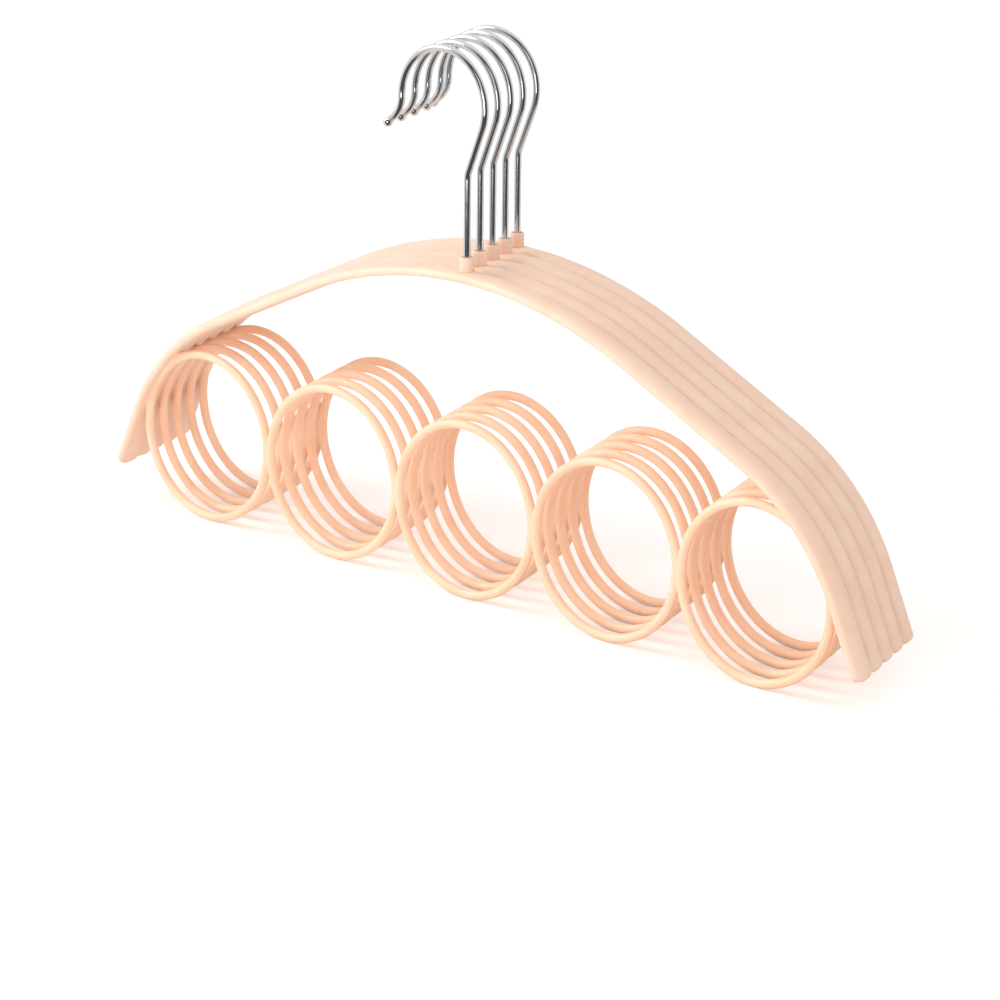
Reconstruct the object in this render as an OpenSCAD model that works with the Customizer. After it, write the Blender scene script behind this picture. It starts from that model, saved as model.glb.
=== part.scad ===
// Nest of five scarf hangers, each a coated arch that carries a row of five coated wire rings
// and a swivelling wire hook. The origin is on the floor, under the middle of the middle hanger.
// X runs along the row of rings, Y through the nest from front to back, and Z is up.

/* [Nest] */
// Distance from one hanger to the next, front to back
nest_pitch = 11; // [11:0.1:16]
// Sideways step from one hanger to the next, front to back
nest_skew = -3; // [-4:0.1:0]
// Turn of the rearmost hook from the plane of its hanger, in degrees
rear_hook_turn = 5; // [0:0.5:6]

/* [Rings] */
// Outer diameter of a coated ring
ring_d = 75; // [70:0.5:80]
// Diameter of the steel wire in the rings
ring_wire_d = 2.6; // [2.2:0.1:3]
// Thickness of the coat on the ring wire
ring_coat = 0.6; // [0.4:0.05:0.8]
// Depth to which the welds sink one wire into its neighbour, or into the spine
weld_depth = 0.4; // [0.3:0.05:0.6]

/* [Arch] */
// Width of the arch, front to back
arch_w = 10.6; // [9:0.1:10.6]
// Thickness of the arch along its edges
arch_edge_t = 3; // [2.6:0.1:3.4]
// Thickness of the arch at its crown
arch_crown_t = 4.4; // [4.2:0.1:5]
// Rounding of the two lower edges
arch_edge_r = 1; // [0.5:0.1:1.2]
// Radius of the underside across the top
top_r = 195; // [185:1:205]
// Radius of the underside at the shoulders
shoulder_r = 91; // [85:1:95]
// Slope of the straight flanks, in degrees
flank_angle = 25.5; // [25:0.1:26.5]
// Slope of the straight ends, in degrees
end_angle = 66; // [62:0.5:68]
// Place on the shoulder's arc where the outer ring sinks in, in degrees from the vertical
seat_angle = 53.66; // [48:0.01:60]
// Length of each straight end
end_length = 29.5; // [24:0.5:32]
// Radius of the tongue that each end is rounded to
tongue_r = 7; // [6:0.1:10]
// Depth to which the outer rings sink into the arch's underside
ring_sink = 2.6; // [2.4:0.1:2.8]

/* [Spine] */
// Width of the steel strip inside the arch
spine_w = 7; // [6:0.1:7.5]
// Thickness of the steel strip
spine_t = 1.2; // [1:0.1:1.4]

/* [Hook] */
// Diameter of the hook wire
hook_wire_d = 3; // [2.8:0.1:3.2]
// Height of the bend above the arch's underside
hook_bend_rise = 43; // [38:0.5:48]
// Radius of the bend above the shank
hook_bend_r = 8; // [6:0.5:10]
// Radius of the big loop, to the middle of the wire
hook_loop_r = 21.9; // [20:0.1:24]
// Distance from the shank's line to the middle of the loop
hook_loop_offset = 13.2; // [12:0.1:15]
// Height of the middle of the loop above the bend
hook_loop_rise = 26.5; // [25:0.1:30]
// Radius of the reverse curve before the tip
hook_lip_r = 12; // [10:0.5:14]
// Angle of the reverse curve, in degrees
hook_lip_angle = 50; // [40:1:55]
// Length of straight wire before the tip
hook_lip_length = 4; // [3:0.5:5]
// Diameter of the ball at the tip
hook_ball_d = 4.2; // [4:0.1:4.6]

/* [Swivel] */
// Radial clearance between the hook's shank and the holes it turns in
swivel_gap = 0.08; // [0.05:0.01:0.1]
// Clearance above and below the swivel, along the shank
thrust_gap = 0.3; // [0.2:0.05:0.4]
// Diameter of the bead that stops the hook from dropping
bead_d = 4; // [3.8:0.1:4.2]
// Height of the bead
bead_h = 1; // [0.8:0.1:1.2]
// Outer diameter of the collar
collar_d = 6; // [5.8:0.1:6.6]
// Height of the collar above its seat
collar_h = 6; // [5:0.1:7]
// Depth of the flat seat cut for the collar
seat_depth = 0.4; // [0.3:0.05:0.5]
// Outer diameter of the washer
washer_d = 8; // [7.5:0.1:8.4]
// Thickness of the washer
washer_t = 0.4; // [0.3:0.05:0.4]
// Diameter of the upset head, which lies with the washer in a recess under the spine
head_d = 6; // [5.6:0.1:6.4]
// Height of the upset head
head_h = 0.8; // [0.6:0.05:0.8]

/* [Hidden] */
$fn = 96;
coat_color = "#f6cba9";
steel_color = "#8c8f92";
chrome_color = "#c9ccd0";

hangers = [1:5];
rings = [1:5];
middle = 3;

// Rings: radii to the middle of the wire and to its surfaces, and the spacing along the row
coated_wire_d = ring_wire_d + 2 * ring_coat;
ring_line_r = (ring_d - coated_wire_d) / 2;
ring_pitch = 2 * ring_line_r + ring_wire_d - weld_depth;
ring_centre_z = ring_d / 2;

// Arch section: u is the height above the underside
crown_sag = arch_crown_t - arch_edge_t;
crown_r = (pow(arch_w / 2, 2) + pow(crown_sag, 2)) / (2 * crown_sag);
spine_u = ring_sink - ring_coat - weld_depth;
spine_end_cover = 3;

// Arch outline, on its underside: top arc, straight flank, shoulder arc and straight end.
// The shoulder is placed on the last ring; flank and top arc lead from it to the middle,
// and so give the height of the underside above the centres of the rings.
last_ring = [(middle - 1) * ring_pitch, 0];
shoulder_gap = shoulder_r - (ring_d / 2 - ring_sink);
shoulder_centre = last_ring - shoulder_gap * [sin(seat_angle), cos(seat_angle)];
shoulder_start = shoulder_centre + shoulder_r * [sin(flank_angle), cos(flank_angle)];
flank_length = (shoulder_start[0] - top_r * sin(flank_angle)) / cos(flank_angle);
flank_start = shoulder_start - flank_length * [cos(flank_angle), -sin(flank_angle)];
arch_rise = flank_start[1] + top_r * (1 - cos(flank_angle));
end_start = shoulder_centre + shoulder_r * [sin(end_angle), cos(end_angle)];

// Hook outline, from the bend up
slant_reach = norm([hook_loop_offset, hook_loop_rise]);
slant_angle = asin(hook_loop_r / slant_reach) - atan(hook_loop_offset / hook_loop_rise);
slant_length = sqrt(pow(slant_reach, 2) - pow(hook_loop_r, 2));
bend_cut = hook_bend_r * tan(slant_angle / 2);
lip_centre_x = -hook_loop_offset - hook_loop_r - hook_lip_r;
lip_end_x = lip_centre_x + hook_lip_r * cos(hook_lip_angle);
lip_end_z = hook_loop_rise - hook_lip_r * sin(hook_lip_angle);

// Swivel, measured up the shank from the arch's underside at the top
shank_hole_r = hook_wire_d / 2 + swivel_gap;
washer_room = 0.05;
washer_top = spine_u - washer_room;
washer_bottom = washer_top - washer_t;
head_top = washer_bottom - thrust_gap;
collar_seat = arch_crown_t - seat_depth;
bead_bottom = spine_u + spine_t + thrust_gap;
bead_room_r = bead_d / 2 + thrust_gap;
bead_room_top = bead_bottom + bead_h + thrust_gap;
seat_room = 0.2;
cut_over = 1;
cut_in = 0.1;

// Pieces of a path stop short of each other inside a band or ball that stands a little proud
join_gap = 0.05;
join_proud = 0.03;
join_length = 0.5;

function hook_turn(h) = h == 5 ? rear_hook_turn : 0;

function parts_of(h) = concat(
    [for (k = rings) str("h", h, "_ring_wire_", k)],
    [for (part = ["spine", "arch_cover", "ring_cover", "collar", "washer", "hook"])
        str("h", h, "_", part)]);

// Puts a hanger's own frame, whose origin is the centre of its middle ring, in the nest
module place(h) {
    translate([nest_skew * (h - middle), nest_pitch * (h - middle), ring_centre_z])
        children();
}

// Arc in the plane of the hanger, from one angle to another, counted from +X towards +Z
module arc(centre, radius, from, to) {
    gap = join_gap / radius * 180 / PI;
    translate([centre[0], 0, centre[1]])
        rotate([90, 0, 0])
            rotate_extrude(angle = to - from - 2 * gap, start = from + gap)
                translate([radius, 0])
                    children();
}

// Straight length in the plane of the hanger that falls away to the right at the given slope
module straight(start, slope, length) {
    translate([start[0], 0, start[1]])
        rotate([0, 90 + slope, 0])
            rotate([0, 0, 180])
                translate([0, 0, join_gap])
                    linear_extrude(length - 2 * join_gap)
                        children();
}

// Short band across the place where an arc and a straight length meet
module band(point, slope) {
    translate([point[0], 0, point[1]])
        rotate([0, 90 + slope, 0])
            rotate([0, 0, 180])
                linear_extrude(join_length, center = true)
                    children();
}

module both_sides() {
    children();
    rotate([0, 0, 180])
        children();
}

// Sweeps the first child, a section drawn as height by width, along the whole arch.
// The second child is the section of the bands.
module arch_sweep(length) {
    arc([0, arch_rise - top_r], top_r, 90 - flank_angle, 90 + flank_angle)
        children(0);
    both_sides() {
        band(flank_start, flank_angle)
            children(1);
        straight(flank_start, flank_angle, flank_length)
            children(0);
        band(shoulder_start, flank_angle)
            children(1);
        arc(shoulder_centre, shoulder_r, 90 - end_angle, 90 - flank_angle)
            children(0);
        band(end_start, end_angle)
            children(1);
        straight(end_start, end_angle, length)
            children(0);
    }
}

// Flat underside with rounded edges and a crowned top, grown on all sides by proud
module cover_section(proud = 0) {
    half_w = arch_w / 2 + proud;
    intersection() {
        union() {
            translate([-proud, arch_edge_r - half_w])
                square([arch_crown_t, 2 * (half_w - arch_edge_r)]);
            translate([arch_edge_r - proud, -half_w])
                square([arch_crown_t, 2 * half_w]);
            for (side = [-1, 1])
                translate([arch_edge_r - proud, side * (half_w - arch_edge_r)])
                    circle(arch_edge_r);
        }
        translate([arch_crown_t - crown_r, 0])
            circle(crown_r + proud);
    }
}

module spine_section(proud = 0) {
    translate([spine_u - proud, -spine_w / 2 - proud])
        square([spine_t + 2 * proud, spine_w + 2 * proud]);
}

// What is cut off an end to leave a rounded tongue
module tongue_waste() {
    reach = 2 * arch_crown_t;
    translate([end_start[0], 0, end_start[1]])
        rotate([0, 90 + end_angle, 0])
            rotate([0, 0, 180])
                translate([0, 0, end_length - tongue_r])
                    difference() {
                        translate([-reach, -arch_w, 0])
                            cube([3 * reach, 2 * arch_w, 2 * tongue_r]);
                        translate([-2 * reach, 0, 0])
                            rotate([0, 90, 0])
                                cylinder(h = 5 * reach, r = tongue_r);
                    }
}

// The arch's full outer form, before anything is let into it
module arch_form() {
    difference() {
        arch_sweep(end_length) {
            cover_section();
            cover_section(join_proud);
        }
        both_sides()
            tongue_waste();
    }
}

module spine_form() {
    arch_sweep(end_length - spine_end_cover) {
        spine_section();
        spine_section(join_proud);
    }
}

// Ring k of the row, as a torus of the given wire radius
module ring_torus(k, wire_r) {
    translate([(k - middle) * ring_pitch, 0, 0])
        rotate([90, 0, 0])
            rotate_extrude()
                translate([ring_line_r, 0])
                    circle(wire_r);
}

// Cylinder on the shank's line, between two heights above the underside
module on_shank(radius, from, to) {
    translate([0, 0, arch_rise + from])
        cylinder(h = to - from, r = radius);
}

// Rolled steel strip that carries the arch, drilled for the hook
module spine(h) {
    color(steel_color)
        place(h)
            difference() {
                spine_form();
                on_shank(shank_hole_r, 0, arch_crown_t);
            }
}

// Steel wire ring, welded flat to flat to its neighbours, with a seat for the weld to the spine
module ring_wire(h, k) {
    color(steel_color)
        place(h)
            difference() {
                ring_torus(k, ring_wire_d / 2);
                for (side = [-1, 1])
                    if (k + side > 0 && k + side < 6)
                        translate([(k - middle + side) * ring_pitch, 0, 0])
                            cube([ring_pitch, ring_d, ring_d], center = true);
                if (k == 1 || k == 5)
                    spine_form();
            }
}

// Coat of the arch, with a crowned top, a flat underside and rounded tongues for ends
module arch_cover(h) {
    color(coat_color)
        place(h)
            difference() {
                arch_form();
                spine_form();
                ring_torus(1, ring_wire_d / 2);
                ring_torus(5, ring_wire_d / 2);
                on_shank(shank_hole_r, -cut_over, arch_crown_t);
                on_shank(washer_d / 2 + seat_room, -cut_over, spine_u + cut_in);
                on_shank(bead_room_r, spine_u + spine_t, arch_crown_t + cut_over);
                on_shank(collar_d / 2 + seat_room, collar_seat, arch_crown_t + cut_over);
            }
}

// Coat of the row of rings, one skin over all five wires, which ends where the arch's coat begins
module ring_cover(h) {
    color(coat_color)
        place(h)
            difference() {
                for (k = rings)
                    ring_torus(k, coated_wire_d / 2);
                for (k = rings)
                    ring_torus(k, ring_wire_d / 2);
                arch_form();
            }
}

// Moulded collar that closes the bead in and steadies the shank
module collar(h) {
    color(coat_color)
        place(h)
            difference() {
                on_shank(collar_d / 2, collar_seat, collar_seat + collar_h);
                on_shank(shank_hole_r, collar_seat - cut_over, collar_seat + collar_h + cut_over);
                on_shank(bead_room_r, collar_seat - cut_over, bead_room_top);
            }
}

// Steel washer between the underside and the hook's head
module washer(h) {
    color(steel_color)
        place(h)
            difference() {
                on_shank(washer_d / 2, washer_bottom, washer_top);
                on_shank(shank_hole_r, washer_bottom - cut_over, washer_top + cut_over);
            }
}

// Ball that joins two lengths of hook wire
module wire_joint(x, z) {
    translate([x, 0, z])
        sphere(r = hook_wire_d / 2 + join_proud);
}

// Straight length of hook wire from a point, leaning from +Z towards +X by an angle
module wire(x, z, lean, length) {
    translate([x, 0, z])
        rotate([0, lean, 0])
            translate([0, 0, join_gap])
                cylinder(h = length - 2 * join_gap, d = hook_wire_d);
}

// Hook wire above the bend, in the plane of the hanger, with the bend's corner at the origin
module hook_crook() {
    wire_joint(0, -bend_cut);
    arc([hook_bend_r, -bend_cut], hook_bend_r, 180 - slant_angle, 180)
        circle(d = hook_wire_d);
    wire_joint(bend_cut * sin(slant_angle), bend_cut * cos(slant_angle));
    wire(bend_cut * sin(slant_angle), bend_cut * cos(slant_angle), slant_angle, slant_length - bend_cut);
    wire_joint(slant_length * sin(slant_angle), slant_length * cos(slant_angle));
    arc([-hook_loop_offset, hook_loop_rise], hook_loop_r, -slant_angle, 180)
        circle(d = hook_wire_d);
    wire_joint(-hook_loop_offset - hook_loop_r, hook_loop_rise);
    arc([lip_centre_x, hook_loop_rise], hook_lip_r, -hook_lip_angle, 0)
        circle(d = hook_wire_d);
    wire_joint(lip_end_x, lip_end_z);
    wire(lip_end_x, lip_end_z, 180 + hook_lip_angle, hook_lip_length);
    translate([lip_end_x, 0, lip_end_z])
        rotate([0, 180 + hook_lip_angle, 0])
            translate([0, 0, hook_lip_length])
                sphere(d = hook_ball_d);
}

// Bent hook in one piece, with its upset head, stop bead, loop and ball tip
module hook(h) {
    color(chrome_color)
        place(h)
            rotate([0, 0, hook_turn(h)]) {
                on_shank(head_d / 2, head_top - head_h, head_top);
                on_shank(hook_wire_d / 2, head_top - head_h / 2, hook_bend_rise - bend_cut - join_gap);
                on_shank(bead_d / 2, bead_bottom, bead_bottom + bead_h);
                translate([0, 0, arch_rise + hook_bend_rise])
                    hook_crook();
            }
}

for (h = hangers) {
    spine(h);
    for (k = rings)
        ring_wire(h, k);
    arch_cover(h);
    ring_cover(h);
    collar(h);
    washer(h);
    hook(h);
}
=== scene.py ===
"""Looks of a nest of five coated scarf hangers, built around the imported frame."""

import math

import bmesh
import bpy
from bpy.props import FloatProperty, FloatVectorProperty, IntProperty, PointerProperty
from mathutils import Euler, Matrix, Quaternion, Vector


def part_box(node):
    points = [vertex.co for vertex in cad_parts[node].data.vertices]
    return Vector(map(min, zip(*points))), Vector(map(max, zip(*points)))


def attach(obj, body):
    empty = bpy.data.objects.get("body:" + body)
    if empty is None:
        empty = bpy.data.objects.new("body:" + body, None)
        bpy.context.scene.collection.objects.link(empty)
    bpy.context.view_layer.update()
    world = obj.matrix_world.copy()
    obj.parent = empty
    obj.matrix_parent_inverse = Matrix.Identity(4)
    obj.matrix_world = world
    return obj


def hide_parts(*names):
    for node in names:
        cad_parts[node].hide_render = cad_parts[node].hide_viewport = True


bl_info = {
    "name": "Nest of scarf hangers",
    "version": (1, 0, 0),
    "blender": (4, 5, 0),
    "location": "3D View > Sidebar > Hangers",
    "description": "Coated arches, rows of coated rings, collars and chrome hooks",
    "category": "Object",
}

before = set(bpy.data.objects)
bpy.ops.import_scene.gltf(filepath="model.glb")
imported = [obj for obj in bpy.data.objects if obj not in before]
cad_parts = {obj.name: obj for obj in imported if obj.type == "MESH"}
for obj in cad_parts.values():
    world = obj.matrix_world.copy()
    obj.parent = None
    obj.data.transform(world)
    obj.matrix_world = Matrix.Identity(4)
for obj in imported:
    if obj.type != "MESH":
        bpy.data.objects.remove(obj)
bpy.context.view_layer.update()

HANGERS = range(1, 6)
RINGS = range(1, 6)
MIDDLE_HANGER = 3
MIDDLE_RING = 3
MM = 0.001

# Turns a ring that lies on the floor upright into the hanger's plane
ROTATE_TO_ROW = (math.pi / 2, 0, 0)

# Points closer than the first become one, and faces closer to a seam than the second are cut
WELD_GAP = 0.01 * MM
SEAM_GAP = 0.001 * MM

# How finely the round shapes are divided
EDGE_STEPS = 6
SECTION_POINTS = 64
TIP_STEPS = 12
HEAD_STEPS = 8
HOOK_SIDES = 40
COLLAR_STEPS = 6
COLLAR_SIDES = 48
RECESS_SIDES = 64

# Thickness that is left at the very tip of the arch, as a share of its full thickness
TIP_SHARE = 0.2

# The washer's recess starts above the washer, and its cutter ends below the hook's head
RECESS_ROOM = 0.02 * MM
RECESS_REACH = 4 * MM

# Bevel of the hook's head, its step to the wire, and the room before the wire's own points
HEAD_BEVEL = 0.1 * MM
HEAD_STEP = 0.02 * MM
HEAD_NECK = 0.3 * MM

# Play of the hook in the collar, bevel of the collar's bore and rounding of its outer edge
COLLAR_PLAY = 0.1 * MM
COLLAR_BEVEL = 0.3 * MM
COLLAR_EDGE = 0.6 * MM

# Sizes of the marks in the finishes
COAT_RUNS = 14 * MM
COAT_SAGS = 9 * MM
ORANGE_PEEL = 0.9 * MM
DRAW_MARKS = 0.3 * MM
ROLL_MARKS = 0.33 * MM

# Sockets of a node that mixes colours, whose names are also those of sockets that are off
MIX_A = 6
MIX_B = 7
MIX_RESULT = 2
WHITE = (1, 1, 1, 1)

# Name, place in metres, size in metres and power in watts of each lamp. The low one stands
# in for light that the table throws up under the left shoulder.
LAMPS = (
    ("Key", (-1.3, -0.9, 1.0), 0.9, 15.0),
    ("Fill", (0.9, -1.6, 0.9), 1.2, 3.0),
    ("Table_Bounce", (0.25, -0.7, 0.06), 0.45, 1.8),
)

# Brightness of the room, of the backdrop behind the nest and of the floor's own glow
ROOM_STRENGTH = 0.84
BACKDROP_STRENGTH = 1.0
FLOOR_GLOW = 0.22
FLOOR_HALF = 8

# Painted reflection: glossy rays see the room and the floor light behind the nest and painted dark
# on the camera's side, so bare metal mirrors painted shade
CAMERA_SIDE = (0.65, -0.76, 0.0)
SHADE_START = 0.1
SHADE_END = 0.55
PAINTED_REFLECTION_BACK = 0.95
PAINTED_REFLECTION_FRONT = 0.09

SENSOR_WIDTH = 36
CLIP_START = 0.05
CLIP_END = 50


def linear(hex_colour):
    """Turns an sRGB hex colour into the linear values that the shaders take."""
    channels = [int(hex_colour[i : i + 2], 16) / 255 for i in (1, 3, 5)]
    return [c / 12.92 if c <= 0.04045 else ((c + 0.055) / 1.055) ** 2.4 for c in channels]


def middle_of(node):
    """Middle of the box round a node."""
    low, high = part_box(node)
    return (low + high) / 2


def row_middle(hanger):
    """Centre of a hanger's middle ring, which is also the middle of its row."""
    return middle_of(f"h{hanger}_ring_cover")


# The inner wires are cut half way to their neighbours, so their width is the pitch
wire_low, wire_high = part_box("h3_ring_wire_3")
RING_PITCH = wire_high.x - wire_low.x
ring_low, ring_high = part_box("h3_ring_cover")
RING_D = ring_high.z - ring_low.z
COATED_WIRE_D = ring_high.y - ring_low.y


# ---- Sizes and finishes that a user would change


class ArchSizes(bpy.types.PropertyGroup):
    width: FloatProperty(
        name="Width", description="Width of the arch, front to back",
        default=10.6 * MM, unit="LENGTH")
    edge_thickness: FloatProperty(
        name="Edge thickness", description="Thickness of the arch along its edges",
        default=3.0 * MM, unit="LENGTH")
    crown_thickness: FloatProperty(
        name="Crown thickness", description="Thickness of the arch at its crown",
        default=4.4 * MM, unit="LENGTH")
    edge_radius: FloatProperty(
        name="Edge radius", description="Rounding of the coat's edges",
        default=1.3 * MM, unit="LENGTH")
    rise: FloatProperty(
        name="Rise", description="Height of the underside above the centres of the rings",
        default=95 * MM, unit="LENGTH")
    top_radius: FloatProperty(
        name="Top radius", description="Radius of the underside across the top",
        default=195 * MM, unit="LENGTH")
    shoulder_radius: FloatProperty(
        name="Shoulder radius", description="Radius of the underside at the shoulders",
        default=91 * MM, unit="LENGTH")
    flank_angle: FloatProperty(
        name="Flank slope", description="Slope of the straight flanks",
        default=math.radians(25.5), subtype="ANGLE", unit="ROTATION")
    end_angle: FloatProperty(
        name="End slope", description="Slope of the straight ends",
        default=math.radians(66), subtype="ANGLE", unit="ROTATION")
    end_length: FloatProperty(
        name="End length", description="Length of each straight end",
        default=29.5 * MM, unit="LENGTH")
    tongue_radius: FloatProperty(
        name="Tongue radius", description="Radius of the rounded tongue at each end",
        default=7 * MM, unit="LENGTH")
    ring_sink: FloatProperty(
        name="Ring sink", description="Depth to which the outer rings sink into the arch",
        default=2.6 * MM, unit="LENGTH")
    step: FloatProperty(
        name="Step", description="Spacing of the sections along the arch",
        default=1.5 * MM, unit="LENGTH")


class RingSizes(bpy.types.PropertyGroup):
    diameter: FloatProperty(
        name="Diameter", description="Outer diameter of a coated ring",
        default=RING_D, unit="LENGTH")
    wire_diameter: FloatProperty(
        name="Coated wire", description="Diameter of the wire with its coat",
        default=COATED_WIRE_D, unit="LENGTH")
    pitch: FloatProperty(
        name="Pitch", description="Distance between the centres of two rings",
        default=RING_PITCH, unit="LENGTH")
    web: FloatProperty(
        name="Web", description="Reach of the coat that pools between touching wires",
        default=1.6 * MM, unit="LENGTH")
    segments: IntProperty(
        name="Segments", description="Sections round one ring", default=240, min=24)
    sides: IntProperty(
        name="Sides", description="Points round the coated wire", default=28, min=8)


class HookSizes(bpy.types.PropertyGroup):
    wire_diameter: FloatProperty(
        name="Wire", description="Diameter of the hook wire", default=3 * MM, unit="LENGTH")
    bend_rise: FloatProperty(
        name="Bend height", description="Height of the bend above the arch's underside",
        default=43 * MM, unit="LENGTH")
    bend_radius: FloatProperty(
        name="Bend radius", description="Radius of the bend above the shank",
        default=8 * MM, unit="LENGTH")
    loop_radius: FloatProperty(
        name="Loop radius", description="Radius of the big loop, to the middle of the wire",
        default=21.9 * MM, unit="LENGTH")
    loop_offset: FloatProperty(
        name="Loop offset", description="Distance from the shank's line to the loop's middle",
        default=13.2 * MM, unit="LENGTH")
    loop_rise: FloatProperty(
        name="Loop height", description="Height of the loop's middle above the bend",
        default=26.5 * MM, unit="LENGTH")
    lip_radius: FloatProperty(
        name="Lip radius", description="Radius of the reverse curve before the tip",
        default=12 * MM, unit="LENGTH")
    lip_angle: FloatProperty(
        name="Lip angle", description="Turn of the reverse curve",
        default=math.radians(50), subtype="ANGLE", unit="ROTATION")
    lip_length: FloatProperty(
        name="Lip length", description="Straight wire between the reverse curve and the ball",
        default=4 * MM, unit="LENGTH")
    ball_diameter: FloatProperty(
        name="Ball", description="Diameter of the ball at the tip",
        default=4.2 * MM, unit="LENGTH")
    head_diameter: FloatProperty(
        name="Head", description="Diameter of the upset head under the washer",
        default=6 * MM, unit="LENGTH")
    head_height: FloatProperty(
        name="Head height", description="Height of the upset head", default=0.8 * MM, unit="LENGTH")
    recess_ease: FloatProperty(
        name="Recess ease", description="Radial room round the washer in the arch's coat",
        default=0.2 * MM, unit="LENGTH")
    rear_turn: FloatProperty(
        name="Rear turn", description="Turn of the rearmost hook",
        default=math.radians(5), subtype="ANGLE", unit="ROTATION")
    step: FloatProperty(
        name="Step", description="Spacing of the sections along the wire",
        default=0.6 * MM, unit="LENGTH")


class Finishes(bpy.types.PropertyGroup):
    coat: FloatVectorProperty(
        name="Coat", description="Colour of the coat on the flat arches",
        subtype="COLOR", size=3, default=linear("#F3D2BB"), min=0, max=1)
    coat_deep: FloatVectorProperty(
        name="Coat, thick", description="Colour of that coat where it is thick",
        subtype="COLOR", size=3, default=linear("#EDC3A6"), min=0, max=1)
    wire_coat: FloatVectorProperty(
        name="Wire coat", description="Colour of the coat on the rings",
        subtype="COLOR", size=3, default=linear("#FBD3B5"), min=0, max=1)
    wire_coat_deep: FloatVectorProperty(
        name="Wire coat, thick", description="Colour of that coat where it is thick",
        subtype="COLOR", size=3, default=linear("#F8C09B"), min=0, max=1)
    chrome: FloatVectorProperty(
        name="Chrome", description="Colour of the plated hooks",
        subtype="COLOR", size=3, default=linear("#D9DBDD"), min=0, max=1)
    steel: FloatVectorProperty(
        name="Steel", description="Colour of the bare steel",
        subtype="COLOR", size=3, default=linear("#A3A5A7"), min=0, max=1)
    floor: FloatVectorProperty(
        name="Floor", description="Colour of the floor",
        subtype="COLOR", size=3, default=linear("#F6F2F0"), min=0, max=1)


class StageSizes(bpy.types.PropertyGroup):
    camera_place: FloatVectorProperty(
        name="Camera", description="Where the camera stands",
        subtype="TRANSLATION", size=3, default=(0.9529, -1.0924, 0.5092))
    yaw: FloatProperty(
        name="Yaw", description="Turn of the view from straight ahead",
        default=math.radians(40.93), subtype="ANGLE", unit="ROTATION")
    pitch: FloatProperty(
        name="Pitch", description="How far the view looks down",
        default=math.radians(18.11), subtype="ANGLE", unit="ROTATION")
    roll: FloatProperty(
        name="Roll", description="Lean of the camera",
        default=math.radians(0.68), subtype="ANGLE", unit="ROTATION")
    lens: FloatProperty(
        name="Lens", description="Focal length on a 36 mm sensor",
        default=134.56, unit="CAMERA")


# ---- Helpers


def add(tree, kind, inputs=(), **settings):
    """Adds a node with its settings, and sets or links its inputs, by order or by name."""
    node = tree.nodes.new(kind)
    for key, value in settings.items():
        setattr(node, key, value)
    pairs = inputs.items() if isinstance(inputs, dict) else enumerate(inputs)
    for key, value in pairs:
        if value is None:
            continue
        if isinstance(value, bpy.types.Node):
            value = next(s for s in value.outputs if s.enabled)
        if isinstance(value, bpy.types.NodeSocket):
            tree.links.new(value, node.inputs[key])
        else:
            node.inputs[key].default_value = value
    return node


def new_tree(name, sizes, material=True):
    """Starts a geometry tree with a geometry input, named size inputs and a material input."""
    tree = bpy.data.node_groups.new(name, "GeometryNodeTree")
    sockets = tree.interface
    sockets.new_socket("Geometry", in_out="INPUT", socket_type="NodeSocketGeometry")
    for size in sizes:
        kind = "NodeSocketInt" if size in ("Segments", "Sides") else "NodeSocketFloat"
        sockets.new_socket(size, in_out="INPUT", socket_type=kind)
    sockets.new_socket("Material", in_out="INPUT", socket_type="NodeSocketMaterial")
    sockets.new_socket("Geometry", in_out="OUTPUT", socket_type="NodeSocketGeometry")
    return tree, tree.nodes.new("NodeGroupInput")


def grow(name, host_mesh, tree, values):
    """Runs a tree on a host mesh, and returns the result as an object with a plain mesh."""
    host = bpy.data.objects.new(name + "_host", host_mesh)
    bpy.context.scene.collection.objects.link(host)
    modifier = host.modifiers.new("Grow", "NODES")
    modifier.node_group = tree
    for item in tree.interface.items_tree:
        if item.in_out == "INPUT" and item.name in values:
            modifier[item.identifier] = values[item.name]
    bpy.context.view_layer.update()
    graph = bpy.context.evaluated_depsgraph_get()
    mesh = bpy.data.meshes.new_from_object(host.evaluated_get(graph))
    host.modifiers.remove(modifier)
    bpy.data.objects.remove(host)
    bpy.data.meshes.remove(host_mesh)
    if not mesh.polygons:
        raise RuntimeError(f"{name} came out empty")
    mesh.name = name
    mesh.materials.clear()
    mesh.materials.append(values["Material"])
    return link(name, mesh)


def link(name, mesh):
    """Puts a mesh into the scene as an object."""
    piece = bpy.data.objects.new(name, mesh)
    bpy.context.scene.collection.objects.link(piece)
    return piece


def path_mesh(name, points, **numbers):
    """A mesh of one open chain of edges, with named numbers at its points."""
    mesh = bpy.data.meshes.new(name)
    mesh.from_pydata(points, [(i, i + 1) for i in range(len(points) - 1)], [])
    for key, values in numbers.items():
        attribute = mesh.attributes.new(key, "FLOAT", "POINT")
        attribute.data.foreach_set("value", values)
    return mesh


def walk(start, heading, legs, step):
    """Points of a path in the hanger's plane, made of straight legs and arcs.

    A heading and a turn are angles from +X towards +Z. Each leg is a length and a turn, and
    has two steps or more.
    """
    x, z = start
    points = [(x, z)]
    for length, turn in legs:
        count = max(2, round(length / step))
        for _ in range(count):
            heading += turn / count / 2
            x += length / count * math.cos(heading)
            z += length / count * math.sin(heading)
            heading += turn / count / 2
            points.append((x, z))
    return points


def dress(piece, slot_name, body, *nodes):
    """Hangs a piece on what it rides on and hides the parts that it stands for; its slot name is
    not used.
    """
    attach(piece, body)
    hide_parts(*nodes)


def sizes_of(group):
    """A group of settings as it stands in the scene."""
    return getattr(bpy.context.scene, group)


# ---- Materials


def new_material(name):
    """A material, with its cleared tree and its object coordinates if it's a new one."""
    material = bpy.data.materials.get(name)
    if material:
        return material, None, None
    material = bpy.data.materials.new(name)
    material.use_nodes = True
    tree = material.node_tree
    tree.nodes.clear()
    return material, tree, add(tree, "ShaderNodeTexCoord").outputs["Object"]


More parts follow.
